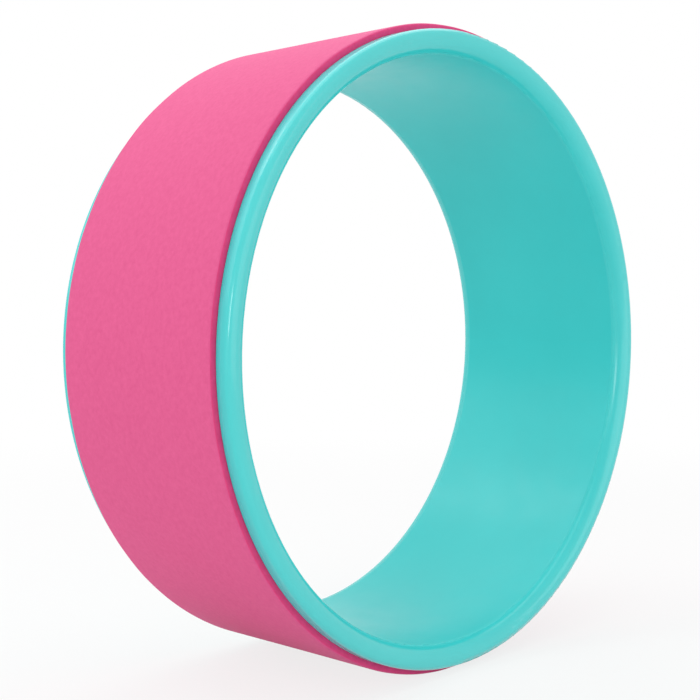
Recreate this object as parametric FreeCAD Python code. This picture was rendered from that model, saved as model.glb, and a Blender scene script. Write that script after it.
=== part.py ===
"""Yoga wheel: a seamless plastic hoop with a foam tread bonded round it.

Sizes are in millimetres. The origin is the wheel's centre, +Y runs along its axis and +Z is up.
Cross-sections are drawn as (radius from the axis, place along the axis) and turned round the axis.
"""
import FreeCAD, Part
import math
import os

# Hoop: wall thicknesses outwards from the bore
BORE_DIAMETER = 299.5
HOOP_WALL = 8.95
RIM_LIP = 2.85
RIM_BAND = 8.2
RIM_OUTER_ROUND = 3.0
RIM_LAND = 1.0

# Tread pad: a strip of foam wrapped once round the seat of the hoop
PAD_THICKNESS = 6.0
PAD_WIDTH = 106.0
PAD_EDGE_ROUND = 1.0
PAD_SIDE_GAP = 0.3
REST_FLAT_DEPTH = 0.5

# Bond under the pad and between the ends of the strip
ADHESIVE_THICKNESS = 0.3
SEAM_WIDTH = 0.4
SEAM_RECESS = 0.4
SEAM_ANGLE = 0.0

# Radii, from the bore outwards
bore_radius = BORE_DIAMETER / 2
seat_radius = bore_radius + HOOP_WALL
rim_radius = seat_radius + RIM_LIP
pad_inner_radius = seat_radius + ADHESIVE_THICKNESS
tread_radius = pad_inner_radius + PAD_THICKNESS

# Places along the axis, from the middle of the wheel outwards
pad_side = PAD_WIDTH / 2
seat_side = pad_side + PAD_SIDE_GAP
hoop_side = seat_side + RIM_BAND

# The rim's inner round takes what the land and the outer round leave of its thickness
rim_inner_round = rim_radius - bore_radius - RIM_LAND - RIM_OUTER_ROUND

# The slit between the ends of the strip, as an angle round the axis
seam_sweep = math.degrees(SEAM_WIDTH / tread_radius)

CENTRE = FreeCAD.Vector(0, 0, 0)
AXIS = FreeCAD.Vector(0, 1, 0)
FULL_TURN = 360.0


def rounded_section(corners):
    """Closed face through square corners (radius, place along the axis, rounding)."""
    points = [FreeCAD.Vector(radius, along, 0) for radius, along, rounding in corners]
    roundings = [rounding for radius, along, rounding in corners]
    edges = []
    pen = None
    first = None
    for index, corner in enumerate(points):
        before = points[index - 1]
        after = points[(index + 1) % len(points)]
        rounding = roundings[index]
        start = corner + (before - corner).normalize() * rounding
        end = corner + (after - corner).normalize() * rounding
        if pen is None:
            first = start
        else:
            edges.append(Part.LineSegment(pen, start).toShape())
        if rounding > 0:
            centre = start + end - corner
            middle = centre + (corner - centre).normalize() * rounding
            edges.append(Part.Arc(start, middle, end).toShape())
        pen = end
    edges.append(Part.LineSegment(pen, first).toShape())
    return Part.Face(Part.Wire(edges))


def turned(section, sweep=FULL_TURN, start=0.0):
    """Solid swept by a section round the wheel's axis, from the start angle on."""
    solid = section.revolve(CENTRE, AXIS, sweep)
    solid.rotate(CENTRE, AXIS, start)
    return solid


def hoop():
    """Ring with a shallow seat for the pad between two rounded rims."""
    section = rounded_section([
        (bore_radius, -hoop_side, rim_inner_round),
        (rim_radius, -hoop_side, RIM_OUTER_ROUND),
        (rim_radius, -seat_side, 0),
        (seat_radius, -seat_side, 0),
        (seat_radius, seat_side, 0),
        (rim_radius, seat_side, 0),
        (rim_radius, hoop_side, RIM_OUTER_ROUND),
        (bore_radius, hoop_side, rim_inner_round),
    ])
    return turned(section)


def tread_pad():
    """Foam strip, one turn less the seam, with the flat that its weight presses into it at the bottom."""
    section = rounded_section([
        (pad_inner_radius, -pad_side, 0),
        (tread_radius, -pad_side, PAD_EDGE_ROUND),
        (tread_radius, pad_side, PAD_EDGE_ROUND),
        (pad_inner_radius, pad_side, 0),
    ])
    strip = turned(section, FULL_TURN - seam_sweep, SEAM_ANGLE + seam_sweep / 2)
    under_flat = Part.makeBox(2 * tread_radius, 2 * pad_side, tread_radius)
    under_flat.translate(FreeCAD.Vector(-tread_radius, -pad_side, REST_FLAT_DEPTH - 2 * tread_radius))
    return strip.cut(under_flat)


def pad_adhesive():
    """Film that fills the space between the seat and the underside of the pad."""
    section = rounded_section([
        (seat_radius, -pad_side, 0),
        (pad_inner_radius, -pad_side, 0),
        (pad_inner_radius, pad_side, 0),
        (seat_radius, pad_side, 0),
    ])
    return turned(section)


def seam_adhesive():
    """Glue line between the ends of the strip, a little below its surface."""
    glue_radius = tread_radius - SEAM_RECESS
    glue_side = pad_side - SEAM_RECESS
    section = rounded_section([
        (pad_inner_radius, -glue_side, 0),
        (glue_radius, -glue_side, 0),
        (glue_radius, glue_side, 0),
        (pad_inner_radius, glue_side, 0),
    ])
    return turned(section, seam_sweep, SEAM_ANGLE - seam_sweep / 2)


PIECES = {
    "hoop": hoop,
    "tread_pad": tread_pad,
    "pad_adhesive": pad_adhesive,
    "seam_adhesive": seam_adhesive,
}

os.makedirs("parts", exist_ok=True)
for node, make in PIECES.items():
    shape = make()
    shape.exportStep(f"parts/{node}.step")
    print(node, "valid" if shape.isValid() else "not valid", f"{shape.Volume / 1000:.2f} cm3")
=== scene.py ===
import math

import bmesh
import bpy
from mathutils import Matrix, Vector

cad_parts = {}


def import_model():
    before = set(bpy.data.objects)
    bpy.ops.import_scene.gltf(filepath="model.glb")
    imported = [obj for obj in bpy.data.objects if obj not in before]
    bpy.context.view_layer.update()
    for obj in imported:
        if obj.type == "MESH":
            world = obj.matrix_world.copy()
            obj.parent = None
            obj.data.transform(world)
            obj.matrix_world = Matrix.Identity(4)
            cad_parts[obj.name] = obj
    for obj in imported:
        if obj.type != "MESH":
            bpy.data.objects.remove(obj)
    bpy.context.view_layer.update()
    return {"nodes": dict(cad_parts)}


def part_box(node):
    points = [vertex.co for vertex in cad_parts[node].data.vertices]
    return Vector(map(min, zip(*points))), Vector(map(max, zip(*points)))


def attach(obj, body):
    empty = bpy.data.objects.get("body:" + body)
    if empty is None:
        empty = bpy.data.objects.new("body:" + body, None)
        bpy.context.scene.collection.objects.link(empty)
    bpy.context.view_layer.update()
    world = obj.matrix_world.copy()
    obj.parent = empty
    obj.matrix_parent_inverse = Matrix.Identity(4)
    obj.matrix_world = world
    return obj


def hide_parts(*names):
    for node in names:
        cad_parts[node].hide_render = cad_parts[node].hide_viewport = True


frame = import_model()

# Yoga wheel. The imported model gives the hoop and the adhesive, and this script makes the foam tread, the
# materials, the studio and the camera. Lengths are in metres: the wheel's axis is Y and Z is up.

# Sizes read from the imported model
pad_low, pad_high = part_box("tread_pad")
film_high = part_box("pad_adhesive")[1]
seam_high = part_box("seam_adhesive")[1]
TREAD_RADIUS = pad_high.z
PAD_INNER_RADIUS = film_high.z
PAD_SIDE = pad_high.y
SEAM_HALF_WIDTH = seam_high.z
FLOOR_LEVEL = pad_low.z

# Tread pad mesh
PAD_COLUMNS = 540
PAD_EDGE_ROUND = 0.0010
EDGE_STEPS = 6
CUT_STEPS = 2
TREAD_STEPS = 24
SIDE_STEPS = 4
UNDERSIDE_STEPS = 6
SEAM_LIP_DEPTH = 0.00035
SEAM_LIP_REACH = 0.0009
SEAM_LIP_STEPS = 5
SKIN_SLOT = 0
CUT_SLOT = 1

# Unevenness of the cut foam: its size, and its waves as (waves per turn, shift across the pad, start)
TREAD_WAVE = 0.00005
TREAD_RIPPLES = ((17, 2.1, 0.0), (29, -3.4, 1.3))
EDGE_WAVE = 0.00008
EDGE_WANDERS = ((11, 1.0, 0.0), (23, 0.0, 2.0), (41, 0.0, 0.7))

# Painted sheen on the hoop by the distance from its middle plane: a thin pale line where the bore ends,
# painted as a highlight, then the rims, painted paler to stand in for their gloss reflections
RIM_START = 0.0530
RIM_END = 0.0615
RIM_PAINTED_SHEEN = [(0.02, 0.0), (0.13, 0.80), (0.30, 1.05), (0.42, 0.50), (0.60, 0.45), (1.00, 1.0)]

# Noises of the materials as (size of a blotch, detail, roughness), and the part of their range that is used
NOISE_LOW = 0.30
NOISE_HIGH = 0.70
FLOW = (0.060, 6.0, 0.60)
SCUFF = (0.012, 4.0, 0.5)
PEEL = (0.0022, 1.0, 0.5)
BLOTCH = (0.0026, 4.0, 0.70)
GRAIN = (0.0011, 3.0, 0.6)
PORES = (0.0003, 2.0, 0.5)
MOTTLE = (0.0030, 3.0, 0.6)
CLOUD = (0.0020, 4.0, 0.6)
CELL_SIZE = 0.0006

# Bumps of the materials as (depth, strength)
PEEL_BUMP = (0.00004, 0.10)
PEBBLE_BUMP = (0.00012, 0.35)
PORE_BUMP = (0.00004, 0.25)
CELL_BUMP = (0.00010, 0.5)
CLOUD_BUMP = (0.00010, 0.3)

# Shades of the materials, from the low to the high end of their noise
WALL_SHADES = ((0.025, 0.602, 0.598), (0.031, 0.626, 0.621))
# The rim shades are paler than the wall's as painted sheen, standing in for the rims' gloss reflections
SHEEN_PAINTED_RIM_SHADES = ((0.077, 0.644, 0.636), (0.087, 0.668, 0.658))
TREAD_SHADES = ((0.722, 0.0932, 0.2590), (0.777, 0.1162, 0.2960))
CUT_SHADES = ((0.790, 0.056, 0.200), (0.870, 0.073, 0.238))
AMBER_SHADES = ((0.600, 0.480, 0.270), (0.760, 0.660, 0.450))

# Roughness of the materials over the same range
WALL_ROUGHNESS = (0.30, 0.36)
RIM_ROUGHNESS = (0.09, 0.13)
TREAD_ROUGHNESS = (0.62, 0.78)
CUT_ROUGHNESS = (0.80, 0.92)
AMBER_ROUGHNESS = (0.30, 0.50)

# Shader values that are the same all over a surface
HOOP_FINISH = {"IOR": 1.5, "Specular IOR Level": 0.45}
TREAD_FINISH = {
    "Specular IOR Level": 0.20,
    "Sheen Weight": 0.06,
    "Sheen Roughness": 0.5,
    "Sheen Tint": (1.0, 0.75, 0.88, 1.0),
}
CUT_FINISH = {"Specular IOR Level": 0.25}
AMBER_FINISH = {}

# Sockets of the colour mix node, which share their names with its other kinds
MIX_FIRST_COLOUR = 6
MIX_SECOND_COLOUR = 7
MIX_COLOUR_RESULT = 2

# Camera, fitted to the photograph
IMAGE_PIXELS = 700
FOCAL_PIXELS = 1251.4
SENSOR_WIDTH = 36.0
CAMERA_AZIMUTH = math.radians(-46.73)
CAMERA_ELEVATION = math.radians(2.37)
CAMERA_DISTANCE = 0.6805
CAMERA_LEFT_OF_CENTRE = 0.0155
CAMERA_BELOW_CENTRE = 0.0012

# Studio
FLOOR_RADIUS = 6.0
FLOOR_SIDES = 96
FLOOR_COLOUR = (0.80, 0.80, 0.80, 1.0)
FLOOR_WHITE = 0.80
SHADOW_NEAR = 0.45
SHADOW_FAR = 1.1
FILL_STRENGTH = 0.67
WHITE = (1.0, 1.0, 1.0, 1.0)
WHITE_STRENGTH = 1.0
WHEEL_CENTRE = (0.0, 0.0, 0.0)
LIGHTS = {
    # name: place, what it points at, width, height, power in watts
    "top_softbox": ((0.20, 0.30, 1.25), (0.20, 0.30, 0.0), 2.0, 1.4, 10.3),
    "back_softbox": ((-0.45, 1.00, 1.15), WHEEL_CENTRE, 0.7, 0.35, 1.6),
    "back_panel": ((-1.02, 1.00, 0.72), WHEEL_CENTRE, 1.0, 0.8, 2.3),
    "left_panel": ((-1.58, 0.0, 0.22), WHEEL_CENTRE, 0.8, 0.75, 0.7),
    "front_panel": ((0.20, -1.55, 0.25), WHEEL_CENTRE, 1.9, 0.8, 4.6),
    "key_strip": ((-1.40, -0.56, 0.30), WHEEL_CENTRE, 0.32, 0.34, 2.9),
}


def put(thing):
    """Links an object into the scene."""
    bpy.context.scene.collection.objects.link(thing)
    return thing


def node(tree, kind, sockets=None, **settings):
    """Adds a shader node with its settings, and sets or links its input sockets."""
    made = tree.nodes.new(kind)
    for name, value in settings.items():
        setattr(made, name, value)
    for name, value in (sockets or {}).items():
        wire(tree, made, name, value)
    return made


def wire(tree, made, name, value):
    """Links an output to a node's input socket, or sets the socket to a plain value."""
    if isinstance(value, bpy.types.NodeSocket):
        tree.links.new(value, made.inputs[name])
    else:
        made.inputs[name].default_value = value


def material(name):
    """New node material, with its tree, its shader and the object coordinates in metres."""
    made = bpy.data.materials.new(name)
    made.use_nodes = True
    tree = made.node_tree
    shader = tree.nodes["Principled BSDF"]
    coords = node(tree, "ShaderNodeTexCoord").outputs["Object"]
    return made, tree, shader, coords


def noise(tree, coords, kind):
    """Noise from 0 to 1, of a kind given as (size of a blotch, detail, roughness)."""
    size, detail, roughness = kind
    sockets = {"Vector": coords, "Scale": 1.0 / size, "Detail": detail, "Roughness": roughness}
    return node(tree, "ShaderNodeTexNoise", sockets).outputs["Fac"]


def spread(tree, value, ends, start=NOISE_LOW, end=NOISE_HIGH):
    """Maps a value from start to end, as a rule the middle of a noise, to the range between two ends."""
    low, high = ends
    sockets = {"Value": value, "From Min": start, "From Max": end, "To Min": low, "To Max": high}
    return node(tree, "ShaderNodeMapRange", sockets).outputs["Result"]


def ramp(tree, value, stops):
    """Colours along a value, as (place, colour) stops."""
    made = node(tree, "ShaderNodeValToRGB", {"Fac": value})
    elements = made.color_ramp.elements
    while len(elements) < len(stops):
        elements.new(0.5)
    for element, (place, colour) in zip(elements, stops):
        element.position = place
        element.color = (*colour, 1.0)
    return made.outputs["Color"]


def shades(tree, value, pair):
    """Colours from one shade to another over the middle of a noise."""
    return ramp(tree, value, list(zip((NOISE_LOW, NOISE_HIGH), pair)))


def blend(tree, share, first, second):
    """Mix of two colours by a share of the second."""
    made = node(tree, "ShaderNodeMix", data_type="RGBA")
    tree.links.new(share, made.inputs["Factor"])
    tree.links.new(first, made.inputs[MIX_FIRST_COLOUR])
    tree.links.new(second, made.inputs[MIX_SECOND_COLOUR])
    return made.outputs[MIX_COLOUR_RESULT]


def maths(tree, operation, *values):
    """Result of a maths node on its linked values."""
    made = node(tree, "ShaderNodeMath", operation=operation)
    for socket, value in zip(made.inputs, values):
        tree.links.new(value, socket)
    return made.outputs[0]


def beside(tree, coords):
    """Distance from the wheel's middle plane, along its axis."""
    along = node(tree, "ShaderNodeSeparateXYZ", {"Vector": coords}).outputs["Y"]
    return maths(tree, "ABSOLUTE", along)


def bump(tree, height, kind, normal=None):
    """Bump of a height from 0 to 1, of a kind given as (depth, strength), over an earlier bump if any."""
    depth, strength = kind
    sockets = {"Height": height, "Distance": depth, "Strength": strength}
    if normal is not None:
        sockets["Normal"] = normal
    return node(tree, "ShaderNodeBump", sockets).outputs["Normal"]


def surface(tree, shader, colour, roughness, normal, plain):
    """Links a shader's colour, roughness and bump, and sets its plain values."""
    sockets = {"Base Color": colour, "Roughness": roughness, "Normal": normal, **plain}
    for name, value in sockets.items():
        wire(tree, shader, name, value)


def hoop_plastic():
    """Turquoise moulding, satin on the wall and glossier on the rims, with the rims' paler colour painted on
    as sheen, and a slight orange peel.
    """
    made, tree, shader, coords = material("hoop_plastic_gloss")
    rim = spread(tree, beside(tree, coords), (0.0, 1.0), RIM_START, RIM_END)
    painted_sheen = ramp(tree, rim, [(place, (share,) * 3) for place, share in RIM_PAINTED_SHEEN])
    flow = noise(tree, coords, FLOW)
    # The rims and a thin line where the bore ends are painted paler: painted sheen that stands in for the
    # gloss highlights
    colour = blend(tree, painted_sheen, shades(tree, flow, WALL_SHADES), shades(tree, flow, SHEEN_PAINTED_RIM_SHADES))
    scuff = noise(tree, coords, SCUFF)
    satin = spread(tree, scuff, WALL_ROUGHNESS)
    gloss = spread(tree, scuff, RIM_ROUGHNESS)
    polish = spread(tree, rim, (satin, gloss), 0.0, 1.0)
    peel = bump(tree, noise(tree, coords, PEEL), PEEL_BUMP)
    surface(tree, shader, colour, polish, peel, HOOP_FINISH)
    return made


def tread_foam():
    """Matt skin of the foam sheet: fine pebbled grain with faint blotches of colour."""
    made, tree, shader, coords = material("pad_foam_tread")
    colour = shades(tree, noise(tree, coords, BLOTCH), TREAD_SHADES)
    grain = noise(tree, coords, GRAIN)
    pebble = bump(tree, grain, PEBBLE_BUMP)
    pitted = bump(tree, noise(tree, coords, PORES), PORE_BUMP, pebble)
    surface(tree, shader, colour, spread(tree, grain, TREAD_ROUGHNESS), pitted, TREAD_FINISH)
    return made


def cut_foam():
    """Cut side of the foam sheet: open cells, darker and deeper in colour than the skin."""
    made, tree, shader, coords = material("pad_foam_cut")
    cells = node(tree, "ShaderNodeTexVoronoi", {"Vector": coords, "Scale": 1.0 / CELL_SIZE})
    mottle = noise(tree, coords, MOTTLE)
    colour = shades(tree, mottle, CUT_SHADES)
    pitted = bump(tree, cells.outputs["Distance"], CELL_BUMP)
    surface(tree, shader, colour, spread(tree, mottle, CUT_ROUGHNESS), pitted, CUT_FINISH)
    return made


def amber_adhesive():
    """Dried contact adhesive: amber, a little cloudy and uneven."""
    made, tree, shader, coords = material("adhesive_amber")
    cloud = noise(tree, coords, CLOUD)
    colour = shades(tree, cloud, AMBER_SHADES)
    uneven = bump(tree, cloud, CLOUD_BUMP)
    surface(tree, shader, colour, spread(tree, cloud, AMBER_ROUGHNESS), uneven, AMBER_FINISH)
    return made


def dress(name, made):
    """Gives a CAD node its material."""
    slots = frame["nodes"][name].data.materials
    slots.clear()
    slots.append(made)


def arc(centre_radius, centre_along, start, end, steps):
    """Points of the pad's rounded edge as (radius, place along the axis), angles from outwards to +Y."""
    points = []
    for step in range(steps + 1):
        angle = start + (end - start) * step / steps
        radius = centre_radius + PAD_EDGE_ROUND * math.cos(angle)
        along = centre_along + PAD_EDGE_ROUND * math.sin(angle)
        points.append((radius, along))
    return points


def between(first, last, steps):
    """Points inside a straight run, without its ends."""
    points = []
    for step in range(1, steps):
        share = step / steps
        points.append(tuple(a + (b - a) * share for a, b in zip(first, last)))
    return points


def pad_section():
    """Cross-section of the pad as points (radius, place along the axis), and which spans are cut faces."""
    quarter = math.pi / 2
    edge_radius = TREAD_RADIUS - PAD_EDGE_ROUND
    edge_along = PAD_SIDE - PAD_EDGE_ROUND
    front_foot = (PAD_INNER_RADIUS, -PAD_SIDE)
    back_foot = (PAD_INNER_RADIUS, PAD_SIDE)
    front_edge = arc(edge_radius, -edge_along, -quarter, 0.0, EDGE_STEPS)
    back_edge = arc(edge_radius, edge_along, 0.0, quarter, EDGE_STEPS)
    runs = [
        ([front_foot] + between(front_foot, front_edge[0], SIDE_STEPS) + front_edge[:CUT_STEPS], True),
        (front_edge[CUT_STEPS:], False),
        (between(front_edge[-1], back_edge[0], TREAD_STEPS), False),
        (back_edge[:-CUT_STEPS], False),
        (back_edge[-CUT_STEPS:] + between(back_edge[-1], back_foot, SIDE_STEPS), True),
        ([back_foot] + between(back_foot, front_foot, UNDERSIDE_STEPS), True),
    ]
    points = [point for run, cut in runs for point in run]
    cuts = [cut for run, cut in runs for point in run]
    return points, cuts


def pad_angles():
    """Angles of the pad's cross-sections from one end of the strip to the other, closer at the ends."""
    end = SEAM_HALF_WIDTH / TREAD_RADIUS
    lip = SEAM_LIP_REACH / TREAD_RADIUS
    near = [end + lip * step / SEAM_LIP_STEPS for step in range(SEAM_LIP_STEPS)]
    first = end + lip
    last = math.tau - first
    middle = [first + (last - first) * step / PAD_COLUMNS for step in range(PAD_COLUMNS + 1)]
    far = [math.tau - angle for angle in reversed(near)]
    return near + middle + far


def lip_drop(angle):
    """How far the strip's surface falls away at its two ends."""
    from_end = min(angle, math.tau - angle) * TREAD_RADIUS - SEAM_HALF_WIDTH
    share = max(0.0, 1.0 - from_end / SEAM_LIP_REACH)
    return SEAM_LIP_DEPTH * (1.0 - math.sqrt(max(0.0, 1.0 - share * share)))


def waviness(waves, angle, across):
    """Sum of waves, from 0 to the number of waves."""
    total = sum(math.sin(turns * angle + shift * across + start) for turns, shift, start in waves)
    return (len(waves) + total) / 2


def pad_point(radius, along, angle):
    """Place of a point of the pad, with the small unevenness of cut foam and the flat that it stands on."""
    height = (radius - PAD_INNER_RADIUS) / (TREAD_RADIUS - PAD_INNER_RADIUS)
    across = along / PAD_SIDE
    radius -= height * (lip_drop(angle) + TREAD_WAVE * waviness(TREAD_RIPPLES, angle, across))
    along *= 1.0 - height * EDGE_WAVE / PAD_SIDE * waviness(EDGE_WANDERS, angle, across)
    z = -radius * math.sin(angle)
    return Vector((radius * math.cos(angle), along, max(z, FLOOR_LEVEL)))


def pad_mesh():
    """Closed mesh of the foam strip: skin on the outside, cut foam on its sides and ends."""
    points, cuts = pad_section()
    mesh = bmesh.new()
    rings = []
    for angle in pad_angles():
        rings.append([mesh.verts.new(pad_point(radius, along, angle)) for radius, along in points])
    for ring, following in zip(rings, rings[1:]):
        for index, cut in enumerate(cuts):
            after = (index + 1) % len(points)
            face = mesh.faces.new((ring[index], ring[after], following[after], following[index]))
            face.material_index = CUT_SLOT if cut else SKIN_SLOT
            face.smooth = True
    ends = [mesh.faces.new(ring) for ring in (rings[0], rings[-1])]
    for end in ends:
        end.material_index = CUT_SLOT
    bmesh.ops.poke(mesh, faces=ends)
    bmesh.ops.recalc_face_normals(mesh, faces=mesh.faces)
    data = bpy.data.meshes.new("tread_pad_foam")
    mesh.to_mesh(data)
    mesh.free()
    return data


def tread_pad():
    """The foam strip, in place of the plain pad."""
    data = pad_mesh()
    data.materials.append(tread_foam())
    data.materials.append(cut_foam())
    pad = put(bpy.data.objects.new("tread_pad_foam", data))
    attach(pad, "root")
    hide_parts("tread_pad")


def seen_directly(tree):
    """1 for camera, glossy and transmission rays, and 0 for the rays that carry light."""
    path = node(tree, "ShaderNodeLightPath")
    first = maths(tree, "MAXIMUM", path.outputs["Is Camera Ray"], path.outputs["Is Glossy Ray"])
    return maths(tree, "MAXIMUM", first, path.outputs["Is Transmission Ray"])


def mixed(tree, share, first, second):
    """Mix of two shaders by a share of the second."""
    made = node(tree, "ShaderNodeMixShader", {"Fac": share})
    tree.links.new(first, made.inputs[1])
    tree.links.new(second, made.inputs[2])
    return made.outputs[0]


def floor_material():
    """Pale floor that takes the shadow near the wheel and goes over to plain white further out."""
    made = bpy.data.materials.new("studio_floor")
    made.use_nodes = True
    tree = made.node_tree
    tree.nodes.clear()
    matt = node(tree, "ShaderNodeBsdfDiffuse", {"Color": FLOOR_COLOUR}).outputs[0]
    glow = node(tree, "ShaderNodeEmission", {"Color": WHITE, "Strength": WHITE_STRENGTH}).outputs[0]
    coords = node(tree, "ShaderNodeTexCoord").outputs["Object"]
    length = node(tree, "ShaderNodeVectorMath", operation="LENGTH")
    tree.links.new(coords, length.inputs[0])
    sockets = {
        "Value": length.outputs["Value"],
        "From Min": SHADOW_NEAR,
        "From Max": SHADOW_FAR,
        "To Min": FLOOR_WHITE,
        "To Max": 1.0,
    }
    share = node(tree, "ShaderNodeMapRange", sockets, interpolation_type="SMOOTHSTEP").outputs["Result"]
    looked_at = mixed(tree, share, matt, glow)
    both = mixed(tree, seen_directly(tree), matt, looked_at)
    output = node(tree, "ShaderNodeOutputMaterial")
    tree.links.new(both, output.inputs["Surface"])
    return made


def floor():
    """Round floor under the wheel."""
    mesh = bmesh.new()
    bmesh.ops.create_circle(mesh, cap_ends=True, segments=FLOOR_SIDES, radius=FLOOR_RADIUS)
    data = bpy.data.meshes.new("studio_floor")
    mesh.to_mesh(data)
    mesh.free()
    data.materials.append(floor_material())
    made = put(bpy.data.objects.new("studio_floor", data))
    made.location.z = FLOOR_LEVEL


def world():
    """White where it is looked at, and a plain even fill for the light that it gives."""
    made = bpy.data.worlds.new("studio_world")
    bpy.context.scene.world = made
    made.use_nodes = True
    tree = made.node_tree
    tree.nodes.clear()
    fill = node(tree, "ShaderNodeBackground", {"Color": WHITE, "Strength": FILL_STRENGTH}).outputs[0]
    white = node(tree, "ShaderNodeBackground", {"Color": WHITE, "Strength": WHITE_STRENGTH}).outputs[0]
    output = node(tree, "ShaderNodeOutputWorld")
    tree.links.new(mixed(tree, seen_directly(tree), fill, white), output.inputs["Surface"])


def lights():
    """Soft boxes of the studio."""
    for name, (place, target, width, height, power) in LIGHTS.items():
        data = bpy.data.lights.new(name, "AREA")
        data.shape = "RECTANGLE"
        data.size = width
        data.size_y = height
        data.energy = power
        lamp = put(bpy.data.objects.new(name, data))
        lamp.location = place
        lamp.rotation_euler = (Vector(target) - Vector(place)).to_track_quat("-Z", "Y").to_euler()
        lamp.visible_camera = False


def camera():
    """Camera at the photograph's viewpoint."""
    right = Vector((math.cos(CAMERA_AZIMUTH), math.sin(CAMERA_AZIMUTH), 0.0))
    forward = Vector((
        -math.sin(CAMERA_AZIMUTH) * math.cos(CAMERA_ELEVATION),
        math.cos(CAMERA_AZIMUTH) * math.cos(CAMERA_ELEVATION),
        -math.sin(CAMERA_ELEVATION),
    ))
    up = right.cross(forward)
    data = bpy.data.cameras.new("camera")
    data.sensor_width = SENSOR_WIDTH
    data.lens = SENSOR_WIDTH * FOCAL_PIXELS / IMAGE_PIXELS
    made = put(bpy.data.objects.new("camera", data))
    place = -forward * CAMERA_DISTANCE - right * CAMERA_LEFT_OF_CENTRE - up * CAMERA_BELOW_CENTRE
    made.matrix_world = Matrix.Translation(place) @ Matrix((right, up, -forward)).transposed().to_4x4()
    bpy.context.scene.camera = made


dress("hoop", hoop_plastic())
adhesive = amber_adhesive()
dress("pad_adhesive", adhesive)
dress("seam_adhesive", adhesive)
tread_pad()
floor()
world()
lights()
camera()
bpy.context.scene.view_settings.view_transform = "Standard"
